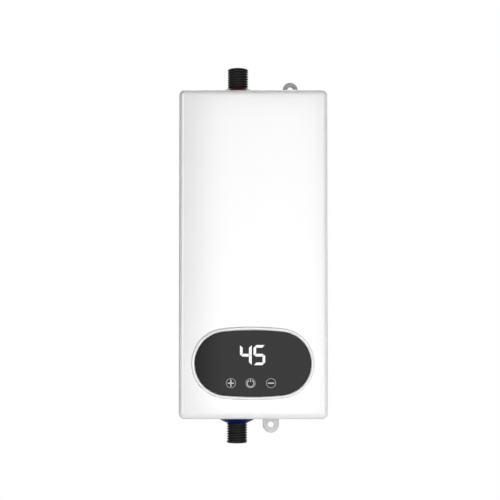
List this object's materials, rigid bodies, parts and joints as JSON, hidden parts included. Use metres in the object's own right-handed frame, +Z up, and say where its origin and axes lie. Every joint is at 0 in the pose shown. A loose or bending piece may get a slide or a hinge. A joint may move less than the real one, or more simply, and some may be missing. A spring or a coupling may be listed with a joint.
{
  "type": "tankless water heater",
  "caption": "Slim wall-hung tankless water heater: white casing, oval digital touch display, threaded cold inlet below and hot outlet above, flow turbine and heating tank inside.",
  "frame": {"origin": "on the wall plane, behind the middle of the casing", "axes": "+X to the right as seen from the front, -Y towards the room, +Z up, from the cold inlet to the hot outlet"},
  "size_m": [0.148, 0.0604, 0.38],
  "materials": {
    "cover_white": "smooth gloss",
    "tray_grey": "fine texture",
    "gasket_rubber": "matt",
    "zinc_screw": "zinc plated",
    "black_rubber": "matt",
    "bezel_white": "high gloss",
    "smoked_lens": "smoked, high gloss",
    "circuit_board": "solder mask",
    "digit_module": "satin",
    "spring_steel": "bright wire",
    "black_nylon": "moulded, satin",
    "collar_blue": "gloss",
    "collar_red": "gloss",
    "strainer_plastic": "moulded",
    "chip_black": "moulded",
    "acetal_white": "moulded",
    "rotor_plastic": "moulded",
    "axle_steel": "ground",
    "tank_steel": "drawn stainless steel",
    "element_steel": "annealed sheath",
    "strap_steel": "zinc plated strip",
    "button_red": "moulded",
    "probe_brass": "turned",
    "relay_blue": "moulded",
    "transformer_core": "taped winding",
    "capacitor_sleeve": "shrunk sleeve",
    "terminal_green": "moulded",
    "sink_aluminium": "extruded",
    "lead_red": "silicone insulation",
    "lead_brown": "silicone insulation",
    "lead_blue": "silicone insulation",
    "lead_black": "insulation",
    "lead_yellow": "insulation",
    "lead_green": "silicone insulation",
    "ribbon_grey": "flat ribbon"
  },
  "bodies": {
    "heater": {"front_cover": "cover_white", "back_tray": "tray_grey", "cover_gasket": "gasket_rubber", "cover_screw_1": "zinc_screw", "cover_screw_2": "zinc_screw", "cover_screw_3": "zinc_screw", "cover_screw_4": "zinc_screw", "cable_grommet": "black_rubber", "display_bezel": "bezel_white", "display_lens": "smoked_lens", "display_board": "circuit_board", "led_display": "digit_module", "touch_spring_1": "spring_steel", "touch_spring_2": "spring_steel", "touch_spring_3": "spring_steel", "inlet_spigot": "black_nylon", "outlet_spigot": "black_nylon", "inlet_collar": "collar_blue", "outlet_collar": "collar_red", "inlet_seal": "black_rubber", "outlet_seal": "black_rubber", "lower_cap_seal": "black_rubber", "upper_cap_seal": "black_rubber", "flow_sensor_body": "black_nylon", "hall_sensor": "chip_black", "flow_guide": "acetal_white", "bearing_spider": "acetal_white", "turbine_axle": "axle_steel", "tank_shell": "tank_steel", "tank_lower_cap": "black_nylon", "tank_upper_cap": "black_nylon", "heating_element": "element_steel", "tank_clamp_1": "strap_steel", "tank_clamp_2": "strap_steel", "clamp_screw_1": "zinc_screw", "clamp_screw_2": "zinc_screw", "cutout_bracket": "strap_steel", "thermal_cutout": "chip_black", "inlet_probe": "probe_brass", "outlet_probe": "probe_brass", "power_board": "circuit_board", "safety_relay": "relay_blue", "transformer": "transformer_core", "capacitor": "capacitor_sleeve", "terminal_block": "terminal_green", "leakage_coil": "chip_black", "triac_heat_sink": "sink_aluminium", "triac": "chip_black", "earth_screw": "probe_brass", "cutout_lead": "lead_red", "heater_lead_live": "lead_brown", "heater_lead_neutral": "lead_blue", "outlet_probe_lead": "lead_black", "inlet_probe_lead": "lead_black", "flow_sensor_lead": "lead_yellow", "earth_lead": "lead_green", "display_ribbon": "ribbon_grey"},
    "turbine": {"turbine_rotor": "rotor_plastic"},
    "strainer": {"inlet_strainer": "strainer_plastic"},
    "button": {"reset_button": "button_red"}
  },
  "joints": [
    {"name": "turbine_spin", "type": "hinge", "parent": "heater", "child": "turbine", "pos_m": [-0.0165, -0.02599, -0.12595], "axis": [0, 0, 1], "continuous": true},
    {"name": "strainer_pull", "type": "slide", "parent": "heater", "child": "strainer", "axis": [0, 0, -1], "range_m": [0, 0.026]},
    {"name": "reset_press", "type": "slide", "parent": "heater", "child": "button", "axis": [1, 0, 0], "range_m": [0, 0.0015], "stiffness_N_per_m": 600, "springref_m": -0.002}
  ]
}
